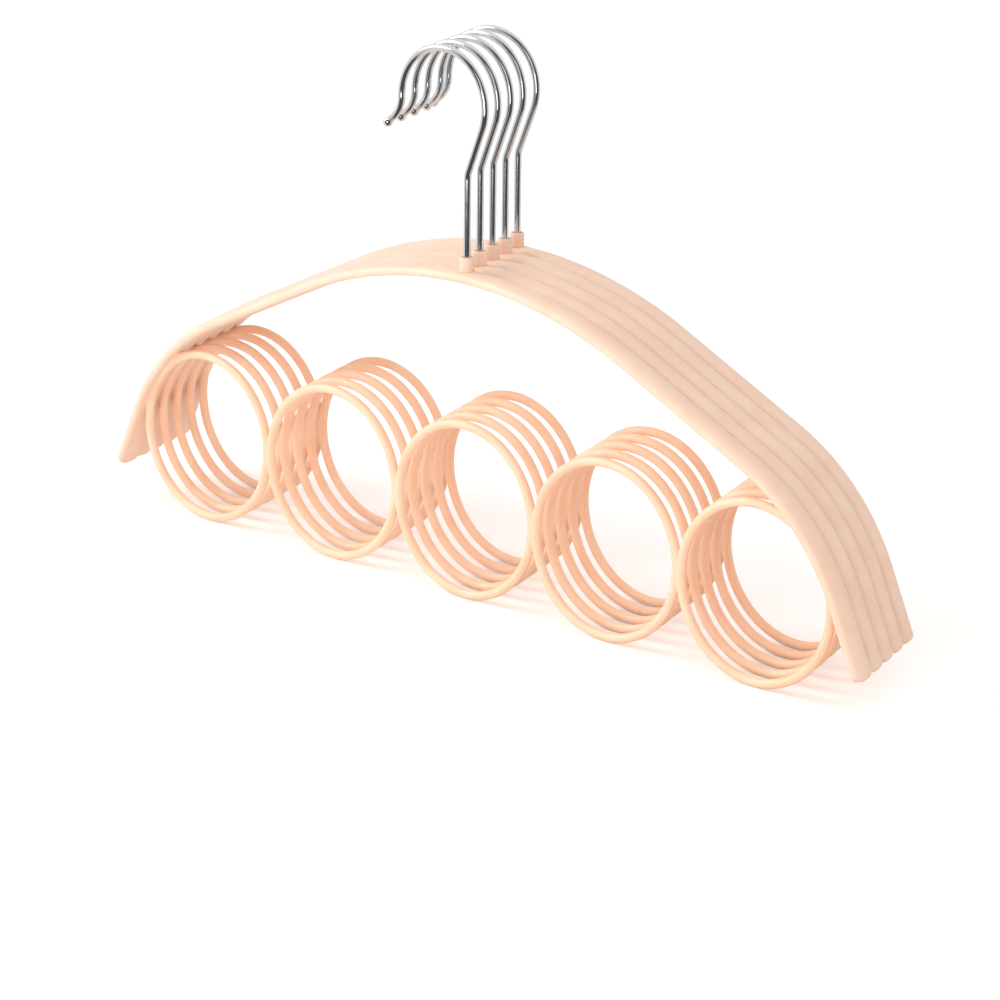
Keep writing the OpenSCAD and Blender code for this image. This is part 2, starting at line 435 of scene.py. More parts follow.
def dipped_pvc(on_wire=False):
    """Soft PVC that the hot metal was dipped in: a satin skin, slightly uneven, a little waxy."""
    material, tree, place = new_material(
        "Dip_Coated_Soft_PVC_on_Wire" if on_wire else "Dip_Coated_Soft_PVC")
    if tree is None:
        return material
    looks = sizes_of("finishes")
    light = looks.wire_coat if on_wire else looks.coat
    deep = looks.wire_coat_deep if on_wire else looks.coat_deep
    # Runs of the coat change its depth of colour a little
    runs = add(tree, "ShaderNodeTexNoise", {
        "Vector": place, "Scale": 1 / COAT_RUNS, "Detail": 2.0})
    span = add(tree, "ShaderNodeMapRange", {
        "Value": runs.outputs["Fac"], "From Min": 0.35, "From Max": 0.65, "To Max": 0.45})
    tint = add(tree, "ShaderNodeMix", {
        "Factor": span.outputs["Result"], MIX_A: (*light, 1), MIX_B: (*deep, 1)},
        data_type="RGBA")
    # The set plastisol has fine orange peel over slow sags
    peel = add(tree, "ShaderNodeTexNoise", {
        "Vector": place, "Scale": 1 / ORANGE_PEEL, "Detail": 1.0})
    sags = add(tree, "ShaderNodeTexNoise", {
        "Vector": place, "Scale": 1 / COAT_SAGS, "Detail": 1.0})
    fine = add(tree, "ShaderNodeBump", {
        "Height": peel.outputs["Fac"], "Strength": 0.25, "Distance": 0.04 * MM})
    slow = add(tree, "ShaderNodeBump", {
        "Height": sags.outputs["Fac"], "Strength": 0.6, "Distance": 0.25 * MM, "Normal": fine})
    gloss = add(tree, "ShaderNodeMapRange", {
        "Value": sags.outputs["Fac"], "To Min": 0.38, "To Max": 0.5})
    skin = add(tree, "ShaderNodeBsdfPrincipled", {
        "Base Color": tint.outputs[MIX_RESULT], "Roughness": gloss.outputs["Result"],
        "IOR": 1.53, "Normal": slow, "Subsurface Weight": 0.15,
        "Subsurface Scale": 1.2 * MM, "Subsurface Radius": (1.0, 0.55, 0.35),
        "Sheen Weight": 0.08})
    add(tree, "ShaderNodeOutputMaterial", [skin])
    return material


def plated_chrome():
    """Bright chrome on drawn wire: mirror-like, with the faintest lengthwise haze."""
    material, tree, place = new_material("Bright_Chrome_Plate")
    if tree is None:
        return material
    # Draw marks of the wire show through the plate, drawn out along the shank
    stretched = add(tree, "ShaderNodeMapping", {"Vector": place, "Scale": (1, 1, 0.08)})
    marks = add(tree, "ShaderNodeTexNoise", {
        "Vector": stretched, "Scale": 1 / DRAW_MARKS, "Detail": 2.0})
    haze = add(tree, "ShaderNodeMapRange", {
        "Value": marks.outputs["Fac"], "To Min": 0.05, "To Max": 0.14})
    plate = add(tree, "ShaderNodeBsdfPrincipled", {
        "Base Color": (*sizes_of("finishes").chrome, 1), "Metallic": 1.0,
        "Roughness": haze.outputs["Result"]})
    add(tree, "ShaderNodeOutputMaterial", [plate])
    return material


def rolled_steel():
    """Rolled steel with fine rolling marks."""
    material, tree, place = new_material("Rolled_Mild_Steel")
    if tree is None:
        return material
    stretched = add(tree, "ShaderNodeMapping", {"Vector": place, "Scale": (0.1, 1, 1)})
    marks = add(tree, "ShaderNodeTexNoise", {
        "Vector": stretched, "Scale": 1 / ROLL_MARKS, "Detail": 3.0})
    rough = add(tree, "ShaderNodeMapRange", {
        "Value": marks.outputs["Fac"], "To Min": 0.3, "To Max": 0.45})
    dents = add(tree, "ShaderNodeBump", {
        "Height": marks.outputs["Fac"], "Strength": 0.2, "Distance": 0.02 * MM})
    metal = add(tree, "ShaderNodeBsdfPrincipled", {
        "Base Color": (*sizes_of("finishes").steel, 1), "Metallic": 1.0,
        "Roughness": rough.outputs["Result"], "Normal": dents})
    add(tree, "ShaderNodeOutputMaterial", [metal])
    return material


def painted_reflection_shade(tree, way):
    """Brightness of the studio in bare metal as a painted reflection, light behind the nest and
    painted dark towards the camera, for a way out of the middle of the floor.
    """
    way = add(tree, "ShaderNodeVectorMath", [way], operation="NORMALIZE").outputs["Vector"]
    front = add(tree, "ShaderNodeVectorMath", [
        way, CAMERA_SIDE], operation="DOT_PRODUCT").outputs["Value"]
    shade = add(tree, "ShaderNodeMapRange", {
        "Value": front, "From Min": SHADE_START, "From Max": SHADE_END,
        "To Min": PAINTED_REFLECTION_BACK, "To Max": PAINTED_REFLECTION_FRONT})
    return shade.outputs["Result"]


def seen_by_camera(tree, rays):
    """One for rays that come straight from the camera, and nought for others."""
    return add(tree, "ShaderNodeMath", [
        rays["Is Camera Ray"], rays["Is Transmission Ray"]], operation="MAXIMUM")


def white_floor_and_painted_reflection():
    """White paint, which glows a little to the camera and shows glossy rays a painted reflection
    that is dark on the camera's side.
    """
    material, tree, place = new_material("Matt_White_Floor_And_Painted_Reflection")
    if tree is None:
        return material
    paint = add(tree, "ShaderNodeBsdfDiffuse", {"Color": (*sizes_of("finishes").floor, 1)})
    rays = add(tree, "ShaderNodeLightPath").outputs
    strength = add(tree, "ShaderNodeMath", [
        seen_by_camera(tree, rays), FLOOR_GLOW], operation="MULTIPLY")
    glow = add(tree, "ShaderNodeEmission", {"Color": WHITE, "Strength": strength})
    lit = add(tree, "ShaderNodeAddShader", [paint, glow])
    # Glossy rays see a painted reflection instead of the paint: painted dark on the camera's side,
    # light behind the nest
    mirrored = add(tree, "ShaderNodeEmission", {
        "Color": WHITE, "Strength": painted_reflection_shade(tree, place)})
    add(tree, "ShaderNodeOutputMaterial", [
        add(tree, "ShaderNodeMixShader", [rays["Is Glossy Ray"], lit, mirrored])])
    return material


# ---- Geometry trees


def pool_offset(tree, distance, reach):
    """Outward move of a surface, a distance from another, so that coats pool between them.

    It grows from nothing at the reach to a quarter of the reach where the two touch.
    """
    near = add(tree, "ShaderNodeMath", [distance, 0.0], operation="MAXIMUM")
    left = add(tree, "ShaderNodeMath", [reach, near], operation="SUBTRACT")
    left = add(tree, "ShaderNodeMath", [left, 0.0], operation="MAXIMUM")
    square = add(tree, "ShaderNodeMath", [left, left], operation="MULTIPLY")
    four = add(tree, "ShaderNodeMath", [reach, 4.0], operation="MULTIPLY")
    return add(tree, "ShaderNodeMath", [square, four], operation="DIVIDE")


def ring_distance(tree, across, y, up, line_radius, wire_radius):
    """Distance to a coated ring from a point, which is given from the ring's centre."""
    flat = add(tree, "ShaderNodeCombineXYZ", [across, 0.0, up])
    round_ = add(tree, "ShaderNodeVectorMath", [flat], operation="LENGTH").outputs["Value"]
    off = add(tree, "ShaderNodeMath", [round_, line_radius], operation="SUBTRACT")
    pair = add(tree, "ShaderNodeCombineXYZ", [off, y, 0.0])
    wire = add(tree, "ShaderNodeVectorMath", [pair], operation="LENGTH").outputs["Value"]
    return add(tree, "ShaderNodeMath", [wire, wire_radius], operation="SUBTRACT")


def ring_row_tree():
    """Grows a coated ring at each point of a row, with coat pooled where wires or arch touch."""
    tree, given = new_tree("Coated_Ring_Row", [
        "Line Radius", "Wire Radius", "Pitch", "Web", "Shoulder X", "Shoulder Radius",
        "Shoulder Z", "Segments", "Sides"])
    size = given.outputs
    line = add(tree, "GeometryNodeCurvePrimitiveCircle", {
        "Resolution": size["Segments"], "Radius": size["Line Radius"]})
    wire = add(tree, "GeometryNodeCurvePrimitiveCircle", {
        "Resolution": size["Sides"], "Radius": size["Wire Radius"]})
    ring = add(tree, "GeometryNodeCurveToMesh", [line, wire])
    upright = add(tree, "GeometryNodeTransform", {"Geometry": ring, "Rotation": ROTATE_TO_ROW})
    rings = add(tree, "GeometryNodeInstanceOnPoints", {
        "Points": size["Geometry"], "Instance": upright})
    row = add(tree, "GeometryNodeRealizeInstances", [rings])

    # Where a point is from the middle of its own ring, and whether it looks away from the row
    axes = add(tree, "ShaderNodeSeparateXYZ", [add(tree, "GeometryNodeInputPosition")]).outputs
    centre = add(tree, "GeometryNodeInputNamedAttribute", {"Name": "centre"}, data_type="FLOAT")
    local = add(tree, "ShaderNodeMath", [axes["X"], centre], operation="SUBTRACT")
    side = add(tree, "ShaderNodeMath", [local], operation="SIGN")
    outward = add(tree, "ShaderNodeMath", [side, centre], operation="MULTIPLY")
    # Only the two outer rings have their middles more than one and a half pitches out
    edge = add(tree, "ShaderNodeMath", [size["Pitch"], 1.5], operation="MULTIPLY")
    outer = add(tree, "ShaderNodeMath", [outward, edge], operation="GREATER_THAN")

    # The next ring is the mirror image of this one. Where there is none, the gap is a metre
    reach = add(tree, "ShaderNodeMath", [local], operation="ABSOLUTE")
    mirrored = add(tree, "ShaderNodeMath", [size["Pitch"], reach], operation="SUBTRACT")
    gap = ring_distance(
        tree, mirrored, axes["Y"], axes["Z"], size["Line Radius"], size["Wire Radius"])
    gap = add(tree, "ShaderNodeMath", [gap, outer], operation="ADD")
    # Only the two outer rings meet the arch
    inner = add(tree, "ShaderNodeMath", [
        add(tree, "ShaderNodeMath", [centre], operation="ABSOLUTE"), edge], operation="LESS_THAN")
    arch_gap = add(tree, "ShaderNodeMath", [
        shoulder_distance(tree, axes, size), inner], operation="ADD")
    nearest = add(tree, "ShaderNodeMath", [gap, arch_gap], operation="MINIMUM")
    pooled = add(tree, "GeometryNodeSetPosition", {
        "Geometry": row,
        "Offset": add(tree, "ShaderNodeVectorMath", {
            0: add(tree, "GeometryNodeInputNormal"),
            "Scale": pool_offset(tree, nearest, size["Web"])}, operation="SCALE")})

    # Each ring ends half way to the next one, or a metre further out where there is none
    axes = add(tree, "ShaderNodeSeparateXYZ", [add(tree, "GeometryNodeInputPosition")]).outputs
    half = add(tree, "ShaderNodeMath", [size["Pitch"], 0.5, outer], operation="MULTIPLY_ADD")
    low = add(tree, "ShaderNodeMath", [centre, half], operation="SUBTRACT")
    high = add(tree, "ShaderNodeMath", [centre, half], operation="ADD")
    clipped = add(tree, "ShaderNodeClamp", {"Value": axes["X"], "Min": low, "Max": high})
    cut = add(tree, "GeometryNodeSetPosition", {
        "Geometry": pooled,
        "Position": add(tree, "ShaderNodeCombineXYZ", [clipped, axes["Y"], axes["Z"]])})
    beyond = add(tree, "ShaderNodeMath", [
        add(tree, "ShaderNodeMath", [clipped, centre], operation="SUBTRACT")],
        operation="ABSOLUTE")
    sealed = add(tree, "ShaderNodeMath", [half, SEAM_GAP], operation="SUBTRACT")
    at_seam = add(tree, "ShaderNodeMath", [beyond, sealed], operation="GREATER_THAN")
    open_ = add(tree, "GeometryNodeDeleteGeometry", {
        "Geometry": cut, "Selection": at_seam}, domain="FACE")
    finish_tree(tree, given, open_)
    return tree


def shoulder_distance(tree, axes, size):
    """Distance from a point to the arch's underside at the nearer shoulder."""
    side = add(tree, "ShaderNodeMath", [axes["X"]], operation="ABSOLUTE")
    across = add(tree, "ShaderNodeMath", [side, size["Shoulder X"]], operation="SUBTRACT")
    up = add(tree, "ShaderNodeMath", [axes["Z"], size["Shoulder Z"]], operation="SUBTRACT")
    flat = add(tree, "ShaderNodeCombineXYZ", [across, 0.0, up])
    far = add(tree, "ShaderNodeVectorMath", [flat], operation="LENGTH").outputs["Value"]
    return add(tree, "ShaderNodeMath", [size["Shoulder Radius"], far], operation="SUBTRACT")


def finish_tree(tree, given, shape):
    """Ends a tree with plain, welded, smooth geometry in one material."""
    real = add(tree, "GeometryNodeRealizeInstances", [shape])
    welded = add(tree, "GeometryNodeMergeByDistance", {"Geometry": real, "Distance": WELD_GAP})
    smooth = add(tree, "GeometryNodeSetShadeSmooth", {"Geometry": welded, "Shade Smooth": True})
    coated = add(tree, "GeometryNodeSetMaterial", {
        "Geometry": smooth, "Material": given.outputs["Material"]})
    tree.nodes.new("NodeGroupOutput")
    tree.links.new(coated.outputs[0], tree.nodes["Group Output"].inputs[0])


def arch_tree():
    """Sweeps the arch's section along a path, rounds its ends to tongues and pools its coat."""
    tree, given = new_tree("Coated_Arch", [
        "Width", "Edge Thickness", "Crown", "Edge Radius", "Tongue Radius", "Web",
        "Line Radius", "Wire Radius", "Last Ring"])
    size = given.outputs
    path = add(tree, "GeometryNodeMeshToCurve", [size["Geometry"]])
    taper = add(tree, "GeometryNodeInputNamedAttribute", {"Name": "taper"}, data_type="FLOAT")

    # Section: a rounded bar, whose upper side is then crowned
    bar = add(tree, "GeometryNodeCurvePrimitiveQuadrilateral", {
        0: size["Width"], 1: size["Edge Thickness"]})
    bar = add(tree, "GeometryNodeFilletCurve", {
        "Curve": bar, "Radius": size["Edge Radius"], "Count": EDGE_STEPS}, mode="POLY")
    bar = add(tree, "GeometryNodeResampleCurve", {
        "Curve": bar, "Count": SECTION_POINTS})
    at = add(tree, "ShaderNodeSeparateXYZ", [add(tree, "GeometryNodeInputPosition")]).outputs
    share = add(tree, "ShaderNodeMath", [
        at["X"], add(tree, "ShaderNodeMath", [size["Width"], 0.5], operation="MULTIPLY")],
        operation="DIVIDE")
    square = add(tree, "ShaderNodeMath", [share, share], operation="MULTIPLY")
    hump = add(tree, "ShaderNodeMath", [1.0, square], operation="SUBTRACT")
    # The sweep turns the section over, so its low side is the arch's top
    top = add(tree, "ShaderNodeMath", [at["Y"], 0.0], operation="LESS_THAN")
    lift = add(tree, "ShaderNodeMath", [hump, size["Crown"]], operation="MULTIPLY")
    lift = add(tree, "ShaderNodeMath", [lift, top], operation="MULTIPLY")
    lift = add(tree, "ShaderNodeMath", [lift, -1.0], operation="MULTIPLY")
    bar = add(tree, "GeometryNodeSetPosition", {
        "Geometry": bar, "Offset": add(tree, "ShaderNodeCombineXYZ", [0.0, lift])})
    arch = add(tree, "GeometryNodeCurveToMesh", {
        "Curve": path, "Profile Curve": bar, "Scale": taper, "Fill Caps": True})

    # Tongue: near an end, the half width follows the tongue's circle
    reach = add(tree, "GeometryNodeInputNamedAttribute", {"Name": "to_tip"}, data_type="FLOAT")
    short = add(tree, "ShaderNodeMath", [size["Tongue Radius"], reach], operation="SUBTRACT")
    short = add(tree, "ShaderNodeMath", [short, 0.0], operation="MAXIMUM")
    short = add(tree, "ShaderNodeMath", [short, short], operation="MULTIPLY")
    full = add(tree, "ShaderNodeMath", [
        size["Tongue Radius"], size["Tongue Radius"]], operation="MULTIPLY")
    half = add(tree, "ShaderNodeMath", [
        add(tree, "ShaderNodeMath", [full, short], operation="SUBTRACT")], operation="SQRT")
    half = add(tree, "ShaderNodeMath", [half, 2.0], operation="MULTIPLY")
    squeeze = add(tree, "ShaderNodeMath", [half, size["Width"]], operation="DIVIDE")
    squeeze = add(tree, "ShaderNodeMath", [squeeze, 1.0], operation="MINIMUM")
    axes = add(tree, "ShaderNodeSeparateXYZ", [add(tree, "GeometryNodeInputPosition")]).outputs
    narrow = add(tree, "ShaderNodeMath", [axes["Y"], squeeze], operation="MULTIPLY")
    tongue = add(tree, "GeometryNodeSetPosition", {
        "Geometry": arch,
        "Position": add(tree, "ShaderNodeCombineXYZ", [axes["X"], narrow, axes["Z"]])})

    # The coat pools beside the outer rings, whose centres lie at the height of the origin
    side = add(tree, "ShaderNodeMath", [axes["X"]], operation="ABSOLUTE")
    across = add(tree, "ShaderNodeMath", [side, size["Last Ring"]], operation="SUBTRACT")
    gap = ring_distance(
        tree, across, axes["Y"], axes["Z"], size["Line Radius"], size["Wire Radius"])
    pooled = add(tree, "GeometryNodeSetPosition", {
        "Geometry": tongue,
        "Offset": add(tree, "ShaderNodeVectorMath", {
            0: add(tree, "GeometryNodeInputNormal"),
            "Scale": pool_offset(tree, gap, size["Web"])}, operation="SCALE")})
    finish_tree(tree, given, pooled)
    return tree


def wire_tree():
    """Sweeps a round section, whose radius is given at each point, along a path."""
    tree, given = new_tree("Bent_Wire", ["Sides"])
    path = add(tree, "GeometryNodeMeshToCurve", [given.outputs["Geometry"]])
    thick = add(tree, "GeometryNodeInputNamedAttribute", {"Name": "thick"}, data_type="FLOAT")
    section = add(tree, "GeometryNodeCurvePrimitiveCircle", {
        "Resolution": given.outputs["Sides"], "Radius": 1.0})
    wire = add(tree, "GeometryNodeCurveToMesh", {
        "Curve": path, "Profile Curve": section, "Scale": thick, "Fill Caps": True})
    finish_tree(tree, given, wire)
    return tree


# ---- Operators


def ways_along(points):
    """Way along a path from its first point to each of its points."""
    ways = [0.0]
    for a, b in zip(points, points[1:]):
        ways.append(ways[-1] + math.dist(a, b))
    return ways


def arch_path(sizes, rings):
    """Middle line of the arch from its left tip to its right, and each point's way to a tip."""
    lift = sizes.edge_thickness / 2
    turn = sizes.end_angle - sizes.flank_angle
    legs = [
        ((sizes.top_radius + lift) * sizes.flank_angle, -sizes.flank_angle),
        (flank_length(sizes, rings), 0),
        ((sizes.shoulder_radius + lift) * turn, -turn),
        (sizes.end_length, 0),
    ]
    points = walk((0, sizes.rise + lift), 0, legs, sizes.step)
    # The last steps close in on the tip, where the tongue's outline turns fast
    (x0, z0), (x1, z1) = points[-3], points[-1]
    shares = [1 - (1 - i / TIP_STEPS) ** 2 for i in range(1, TIP_STEPS + 1)]
    points = points[:-2] + [(x0 + (x1 - x0) * s, z0 + (z1 - z0) * s) for s in shares]
    ways = ways_along(points)
    to_tip = [ways[-1] - way for way in ways]
    chain = [(-x, 0, z) for x, z in reversed(points[1:])] + [(x, 0, z) for x, z in points]
    return chain, to_tip[:0:-1] + to_tip


def last_ring(rings):
    """Distance from the middle of the row to the centre of its last ring."""
    return (RINGS[-1] - MIDDLE_RING) * rings.pitch


def shoulder_start(sizes):
    """Where the middle of the shoulder's arc would be if the flank had no length."""
    inner = sizes.top_radius - sizes.shoulder_radius
    x = inner * math.sin(sizes.flank_angle)
    z = sizes.rise - sizes.top_radius + inner * math.cos(sizes.flank_angle)
    return x, z


def flank_length(sizes, rings):
    """Length of the flank that sinks the last ring into the shoulder as deep as it should."""
    x, z = shoulder_start(sizes)
    x -= last_ring(rings)
    along = x * math.cos(sizes.flank_angle) - z * math.sin(sizes.flank_angle)
    gap = sizes.shoulder_radius - (rings.diameter / 2 - sizes.ring_sink)
    return -along - math.sqrt(along ** 2 - x * x - z * z + gap ** 2)


def shoulder_centre(sizes, rings):
    """Middle of the shoulder's arc, which the last ring touches from inside."""
    flank = flank_length(sizes, rings)
    x, z = shoulder_start(sizes)
    return x + flank * math.cos(sizes.flank_angle), z - flank * math.sin(sizes.flank_angle)


def move_to(piece, place):
    """Moves a piece's mesh, so that its object stays at the origin."""
    for vertex in piece.data.vertices:
        vertex.co += place


def sink_washer(piece, hanger):
    """Cuts the recess under the arch in which the washer and the hook's head lie."""
    low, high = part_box(f"h{hanger}_washer")
    middle = (low + high) / 2
    top = high.z + RECESS_ROOM
    depth = top - (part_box(f"h{hanger}_hook")[0].z - RECESS_REACH)
    radius = (high.x - low.x) / 2 + sizes_of("hook_sizes").recess_ease
    bpy.ops.mesh.primitive_cylinder_add(
        vertices=RECESS_SIDES, radius=radius, depth=depth,
        location=(middle.x, middle.y, top - depth / 2))
    cutter = bpy.context.object
    cutter.data.materials.append(dipped_pvc())
    cut = piece.modifiers.new("recess", "BOOLEAN")
    cut.operation = "DIFFERENCE"
    cut.solver = "EXACT"
    cut.object = cutter
    shape = bpy.data.meshes.new_from_object(
        piece.evaluated_get(bpy.context.evaluated_depsgraph_get()))
    piece.modifiers.remove(cut)
    piece.data = shape
    bpy.data.objects.remove(cutter)


class HANGER_OT_arches(bpy.types.Operator):
    """Makes the coated arches, with crowned tops, rounded tongues and pooled coats"""

    bl_idname = "scarf_hanger.arches"
    bl_label = "Coated arches"

    def execute(self, context):
        sizes, rings = sizes_of("arch_sizes"), sizes_of("ring_sizes")
        tree = arch_tree()
        chain, to_tip = arch_path(sizes, rings)
        # The last half thickness of the arch is rounded off towards the tip
        blunt = sizes.edge_thickness / 2
        taper = [
            max(math.sqrt(1 - max(1 - way / blunt, 0) ** 2), TIP_SHARE) for way in to_tip]
        for h in HANGERS:
            host = path_mesh("arch_path", chain, to_tip=to_tip, taper=taper)
            piece = grow(f"arch_coat_{h}", host, tree, {
                "Width": sizes.width, "Edge Thickness": sizes.edge_thickness,
                "Crown": sizes.crown_thickness - sizes.edge_thickness,
                "Edge Radius": sizes.edge_radius, "Tongue Radius": sizes.tongue_radius,
                "Web": rings.web, "Line Radius": (rings.diameter - rings.wire_diameter) / 2,
                "Wire Radius": rings.wire_diameter / 2, "Last Ring": last_ring(rings),
                "Material": dipped_pvc()})
            move_to(piece, row_middle(h))
            sink_washer(piece, h)
            dress(piece, "coat", f"hanger_{h}", f"h{h}_arch_cover")
        return {"FINISHED"}


class HANGER_OT_rings(bpy.types.Operator):
    """Makes each hanger's row of coated rings as one skin"""

    bl_idname = "scarf_hanger.rings"
    bl_label = "Coated rings"

    def execute(self, context):
        arch, sizes = sizes_of("arch_sizes"), sizes_of("ring_sizes")
        shoulder_x, shoulder_z = shoulder_centre(arch, sizes)
        tree = ring_row_tree()
        centres = [(k - MIDDLE_RING) * sizes.pitch for k in RINGS]
        for h in HANGERS:
            host = path_mesh("ring_row", [(x, 0, 0) for x in centres], centre=centres)
            piece = grow(f"ring_coat_{h}", host, tree, {
                "Line Radius": (sizes.diameter - sizes.wire_diameter) / 2,
                "Wire Radius": sizes.wire_diameter / 2, "Pitch": sizes.pitch,
                "Web": sizes.web, "Shoulder X": shoulder_x, "Shoulder Z": shoulder_z,
                "Shoulder Radius": arch.shoulder_radius, "Segments": sizes.segments,
                "Sides": sizes.sides, "Material": dipped_pvc(on_wire=True)})
            move_to(piece, row_middle(h))
            dress(piece, "coat", f"hanger_{h}", f"h{h}_ring_cover")
        return {"FINISHED"}


def head_outline(sizes):
    """Rise and radius of the hook's head: a low dome, a bevel and the step to the wire."""
    head, tall = sizes.head_diameter / 2, sizes.head_height
    edge = tall / 3
    outline = []
    for i in range(HEAD_STEPS + 1):
        angle = math.pi / 2 * i / HEAD_STEPS
        outline.append((edge * (1 - math.cos(angle)), head - edge + edge * math.sin(angle)))
    return outline + [
        (tall - HEAD_BEVEL, head), (tall, head - HEAD_BEVEL),
        (tall + HEAD_STEP, sizes.wire_diameter / 2)]


def hook_path(sizes):
    """Path of the hook wire from its head to its ball, and its radius at each point."""
    reach = math.hypot(sizes.loop_offset, sizes.loop_rise)
    slant = math.asin(sizes.loop_radius / reach) - math.atan2(sizes.loop_offset, sizes.loop_rise)
    slant_length = math.sqrt(reach ** 2 - sizes.loop_radius ** 2)
    cut = sizes.bend_radius * math.tan(slant / 2)
    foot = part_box("h3_hook")[0].z
    underside = row_middle(MIDDLE_HANGER).z + sizes_of("arch_sizes").rise
    shank_end = underside + sizes.bend_rise - cut
    ball = sizes.ball_diameter / 2
    legs = [
        (shank_end - foot, 0),
        (sizes.bend_radius * slant, -slant),
        (slant_length - cut, 0),
        (sizes.loop_radius * (math.pi + slant), math.pi + slant),
        (sizes.lip_radius * sizes.lip_angle, -sizes.lip_angle),
        (sizes.lip_length + ball, 0),
    ]
    points = walk((0, foot), math.pi / 2, legs, sizes.step)
    ways = ways_along(points)
    chain, radii = [], []
    for rise, radius in head_outline(sizes):
        chain.append((0, 0, foot + rise))
        radii.append(radius)
    wire = sizes.wire_diameter / 2
    for (x, z), way in zip(points, ways):
        if way <= sizes.head_height + HEAD_NECK:
            continue
        radius = wire
        before_ball = ways[-1] - ball - way
        if abs(before_ball) <= ball:
            disc = math.sqrt(max(ball ** 2 - before_ball ** 2, 0))
            radius = disc if before_ball < 0 else max(wire, disc)
        chain.append((x, 0, z))
        radii.append(radius)
    return chain, radii


class HANGER_OT_hooks(bpy.types.Operator):
    """Makes the chrome hooks, each one bent wire with an upset head and a ball tip"""

    bl_idname = "scarf_hanger.hooks"
    bl_label = "Chrome hooks"

    def execute(self, context):
        sizes = sizes_of("hook_sizes")
        tree = wire_tree()
        chain, radii = hook_path(sizes)
        for h in HANGERS:
            host = path_mesh("hook_path", chain, thick=radii)
            piece = grow(f"hook_wire_{h}", host, tree, {
                "Sides": HOOK_SIDES, "Material": plated_chrome()})
            if h == HANGERS[-1]:
                turn = Quaternion((0, 0, 1), sizes.rear_turn)
                for vertex in piece.data.vertices:
                    vertex.co.rotate(turn)
            shank = row_middle(h)
            move_to(piece, Vector((shank.x, shank.y, 0)))
            dress(piece, "chrome", f"hook_{h}", f"h{h}_hook")
        return {"FINISHED"}


def collar_outline(low, high):
    """Radius and height of a collar's outline, from the bore over the rounded top to the foot."""
    radius = (high.x - low.x) / 2
    bore = sizes_of("hook_sizes").wire_diameter / 2 + COLLAR_PLAY
    outline = [(bore, high.z - COLLAR_EDGE), (bore + COLLAR_BEVEL, high.z)]
    for i in range(COLLAR_STEPS + 1):
        angle = math.pi / 2 * i / COLLAR_STEPS
        outline.append((
            radius - COLLAR_EDGE + COLLAR_EDGE * math.sin(angle),
            high.z - COLLAR_EDGE + COLLAR_EDGE * math.cos(angle)))
    return outline + [(radius, low.z + COLLAR_EDGE), (radius, low.z), (bore, low.z)]


class HANGER_OT_collars(bpy.types.Operator):
    """Makes the moulded collars at the feet of the hooks"""

    bl_idname = "scarf_hanger.collars"
    bl_label = "Collars"

    def execute(self, context):
        for h in HANGERS:
            low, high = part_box(f"h{h}_collar")
            shape = bmesh.new()
            loop = [shape.verts.new((r, 0, z)) for r, z in collar_outline(low, high)]
            edges = [shape.edges.new(pair) for pair in zip(loop, loop[1:] + loop[:1])]
            bmesh.ops.spin(
                shape, geom=loop + edges, cent=(0, 0, 0), axis=(0, 0, 1),
                angle=2 * math.pi, steps=COLLAR_SIDES, use_merge=True)
            bmesh.ops.remove_doubles(shape, verts=shape.verts, dist=SEAM_GAP)
            bmesh.ops.recalc_face_normals(shape, faces=shape.faces)
            mesh = bpy.data.meshes.new(f"collar_{h}")
            shape.to_mesh(mesh)
            shape.free()
            mesh.shade_smooth()
            mesh.materials.append(dipped_pvc())
            piece = link(f"collar_{h}", mesh)
            middle = (low + high) / 2
            move_to(piece, Vector((middle.x, middle.y, 0)))
            dress(piece, "coat", f"hanger_{h}", f"h{h}_collar")
        return {"FINISHED"}


class HANGER_OT_steel(bpy.types.Operator):
    """Gives the spines, ring wires and washers their steel"""

    bl_idname = "scarf_hanger.steel"
    bl_label = "Steel inside"

    def execute(self, context):
        for h in HANGERS:
            for part in ("spine", "washer", *(f"ring_wire_{k}" for k in RINGS)):
                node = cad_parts[f"h{h}_{part}"]
                node.data.materials.clear()
                node.data.materials.append(rolled_steel())
        return {"FINISHED"}


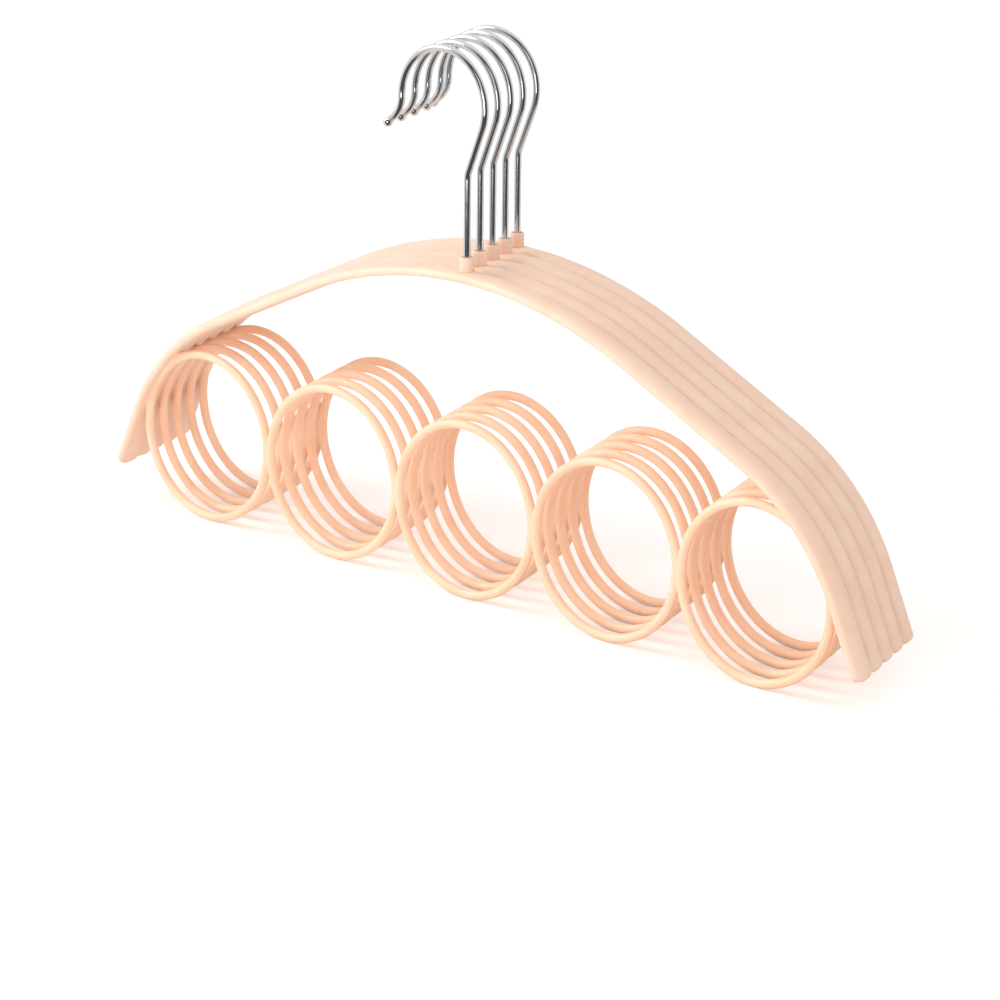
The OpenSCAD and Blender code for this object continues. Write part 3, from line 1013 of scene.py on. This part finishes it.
class HANGER_OT_stage(bpy.types.Operator):
    """Sets up the floor, the soft studio light with a painted reflection for bare metal, and the
    camera
    """

    bl_idname = "scarf_hanger.stage"
    bl_label = "Floor, light and camera"

    def execute(self, context):
        scene = context.scene
        scene.view_settings.view_transform = "Standard"
        self.lay_floor()
        self.light_room(scene)
        self.hang_lamps(scene)
        self.place_camera(scene, sizes_of("stage_sizes"))
        return {"FINISHED"}

    def lay_floor(self):
        mesh = bpy.data.meshes.new("Floor")
        far = FLOOR_HALF
        mesh.from_pydata(
            [(-far, -far, 0), (far, -far, 0), (far, far, 0), (-far, far, 0)], [], [(0, 1, 2, 3)])
        mesh.materials.append(white_floor_and_painted_reflection())
        link("Floor", mesh)

    def light_room(self, scene):
        world = bpy.data.worlds.new("Soft_Studio_With_Painted_Reflection")
        world.use_nodes = True
        scene.world = world
        tree = world.node_tree
        tree.nodes.clear()
        rays = add(tree, "ShaderNodeLightPath").outputs
        soft = add(tree, "ShaderNodeBackground", {"Color": WHITE, "Strength": ROOM_STRENGTH})
        way = add(tree, "ShaderNodeTexCoord").outputs["Generated"]
        # Glossy rays see a painted reflection of the room: painted dark on the camera's side, light
        # behind the nest
        mirrored = add(tree, "ShaderNodeBackground", {
            "Color": WHITE, "Strength": painted_reflection_shade(tree, way)})
        backdrop = add(tree, "ShaderNodeBackground", {
            "Color": WHITE, "Strength": BACKDROP_STRENGTH})
        lit = add(tree, "ShaderNodeMixShader", [rays["Is Glossy Ray"], soft, mirrored])
        add(tree, "ShaderNodeOutputWorld", [
            add(tree, "ShaderNodeMixShader", [seen_by_camera(tree, rays), lit, backdrop])])

    def hang_lamps(self, scene):
        for name, place, size, power in LAMPS:
            lamp = bpy.data.lights.new(name, "AREA")
            lamp.size = size
            lamp.energy = power
            holder = bpy.data.objects.new(name, lamp)
            holder.location = place
            holder.visible_camera = False
            holder.rotation_euler = (-Vector(place)).to_track_quat("-Z", "Y").to_euler()
            scene.collection.objects.link(holder)

    def place_camera(self, scene, stage):
        camera = bpy.data.cameras.new("Camera")
        camera.lens = stage.lens
        camera.sensor_width = SENSOR_WIDTH
        camera.clip_start = CLIP_START
        camera.clip_end = CLIP_END
        holder = bpy.data.objects.new("Camera", camera)
        holder.location = stage.camera_place
        holder.rotation_mode = "QUATERNION"
        look = Euler((math.pi / 2 - stage.pitch, 0, stage.yaw)).to_quaternion()
        holder.rotation_quaternion = look @ Quaternion((0, 0, 1), stage.roll)
        scene.collection.objects.link(holder)
        scene.camera = holder


OPERATORS = (
    HANGER_OT_arches, HANGER_OT_rings, HANGER_OT_hooks, HANGER_OT_collars, HANGER_OT_steel,
    HANGER_OT_stage)


class HANGER_PT_panel(bpy.types.Panel):
    """Lists the pieces of the nest"""

    bl_label = "Scarf hangers"
    bl_space_type = "VIEW_3D"
    bl_region_type = "UI"
    bl_category = "Hangers"

    def draw(self, context):
        for operator in OPERATORS:
            self.layout.operator(operator.bl_idname)
        for group, cls in GROUPS.items():
            box = self.layout.box()
            for key in cls.__annotations__:
                box.prop(getattr(context.scene, group), key)


GROUPS = {
    "arch_sizes": ArchSizes,
    "ring_sizes": RingSizes,
    "hook_sizes": HookSizes,
    "finishes": Finishes,
    "stage_sizes": StageSizes,
}
CLASSES = (*GROUPS.values(), *OPERATORS, HANGER_PT_panel)


def register():
    for cls in CLASSES:
        bpy.utils.register_class(cls)
    for group, cls in GROUPS.items():
        setattr(bpy.types.Scene, group, PointerProperty(type=cls))


def unregister():
    for group in GROUPS:
        delattr(bpy.types.Scene, group)
    for cls in reversed(CLASSES):
        bpy.utils.unregister_class(cls)


def main():
    register()
    bpy.ops.scarf_hanger.arches()
    bpy.ops.scarf_hanger.rings()
    bpy.ops.scarf_hanger.hooks()
    bpy.ops.scarf_hanger.collars()
    bpy.ops.scarf_hanger.steel()
    bpy.ops.scarf_hanger.stage()


if __name__ == "__main__":
    main()
